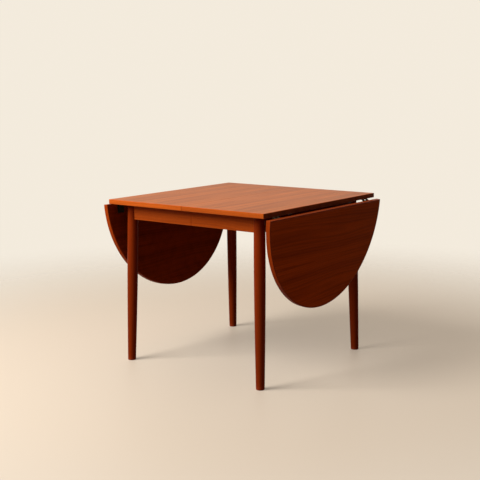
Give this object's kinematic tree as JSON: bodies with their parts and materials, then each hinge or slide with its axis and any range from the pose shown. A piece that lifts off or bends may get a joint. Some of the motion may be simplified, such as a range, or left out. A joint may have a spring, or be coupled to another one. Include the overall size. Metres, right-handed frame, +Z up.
{
  "type": "drop leaf table",
  "caption": "Square wooden extension table on splayed turned legs, with half-round leaves that hang from its sides and swing up level onto pull-out bars.",
  "frame": {"origin": "on the floor under the centre of the closed table, between the four feet", "axes": "+Z up, +X towards the half that slides out and its leaf, front towards -Y"},
  "size_m": [0.9164, 0.85, 0.735],
  "materials": {
    "teak_veneer": "oiled satin",
    "teak_lipping": "oiled satin",
    "teak_solid": "oiled satin",
    "beech": "bare planed",
    "brass": "dull, aged",
    "steel": "plain"
  },
  "bodies": {
    "left_half": {"left_top_panel": "teak_veneer", "left_top_lipping": "teak_lipping", "left_front_leg": "teak_solid", "left_back_leg": "teak_solid", "left_front_apron": "teak_solid", "left_back_apron": "teak_solid", "left_end_apron": "teak_solid", "left_corner_blocks": "beech", "left_leg_bolts": "steel", "left_leg_nuts": "steel", "left_block_screws": "steel", "left_slide_rails": "beech", "left_rail_screws": "steel", "left_loper_guides": "beech", "left_guide_screws": "steel", "left_loper_end_stops": "beech", "left_hinge_top_plates": "brass", "left_hinge_pins": "brass", "left_hinge_top_screws": "brass", "left_slide_stop_pins": "steel", "left_alignment_pins": "beech"},
    "right_half": {"right_top_panel": "teak_veneer", "right_top_lipping": "teak_lipping", "right_front_leg": "teak_solid", "right_back_leg": "teak_solid", "right_front_apron": "teak_solid", "right_back_apron": "teak_solid", "right_end_apron": "teak_solid", "right_corner_blocks": "beech", "right_leg_bolts": "steel", "right_leg_nuts": "steel", "right_block_screws": "steel", "right_slide_rails": "beech", "right_rail_screws": "steel", "right_loper_guides": "beech", "right_guide_screws": "steel", "right_loper_end_stops": "beech", "right_hinge_top_plates": "brass", "right_hinge_pins": "brass", "right_hinge_top_screws": "brass"},
    "left_leaf": {"left_leaf_panel": "teak_veneer", "left_leaf_lipping": "teak_lipping", "left_hinge_leaf_plates": "brass", "left_hinge_leaf_screws": "brass"},
    "left_front_loper": {"left_front_loper": "steel", "left_front_loper_stop": "steel"},
    "left_back_loper": {"left_back_loper": "steel", "left_back_loper_stop": "steel"},
    "right_leaf": {"right_leaf_panel": "teak_veneer", "right_leaf_lipping": "teak_lipping", "right_hinge_leaf_plates": "brass", "right_hinge_leaf_screws": "brass"},
    "right_front_loper": {"right_front_loper": "steel", "right_front_loper_stop": "steel"},
    "right_back_loper": {"right_back_loper": "steel", "right_back_loper_stop": "steel"}
  },
  "joints": [
    {"name": "halves_slide", "type": "slide", "parent": "left_half", "child": "right_half", "axis": [1, 0, 0], "range_m": [0, 0.5]},
    {"name": "left_leaf_hinge", "type": "hinge", "parent": "left_half", "child": "left_leaf", "pos_m": [-0.43, 0, 0.707], "axis": [0, 1, 0], "range_deg": [0, 95.2]},
    {"name": "left_front_loper_slide", "type": "slide", "parent": "left_half", "child": "left_front_loper", "axis": [-1, 0, 0], "range_m": [0, 0.23]},
    {"name": "left_back_loper_slide", "type": "slide", "parent": "left_half", "child": "left_back_loper", "axis": [-1, 0, 0], "range_m": [0, 0.23]},
    {"name": "right_leaf_hinge", "type": "hinge", "parent": "right_half", "child": "right_leaf", "pos_m": [0.43, 0, 0.707], "axis": [0, -1, 0], "range_deg": [0, 95.2]},
    {"name": "right_front_loper_slide", "type": "slide", "parent": "right_half", "child": "right_front_loper", "axis": [1, 0, 0], "range_m": [0, 0.23]},
    {"name": "right_back_loper_slide", "type": "slide", "parent": "right_half", "child": "right_back_loper", "axis": [1, 0, 0], "range_m": [0, 0.23]}
  ]
}
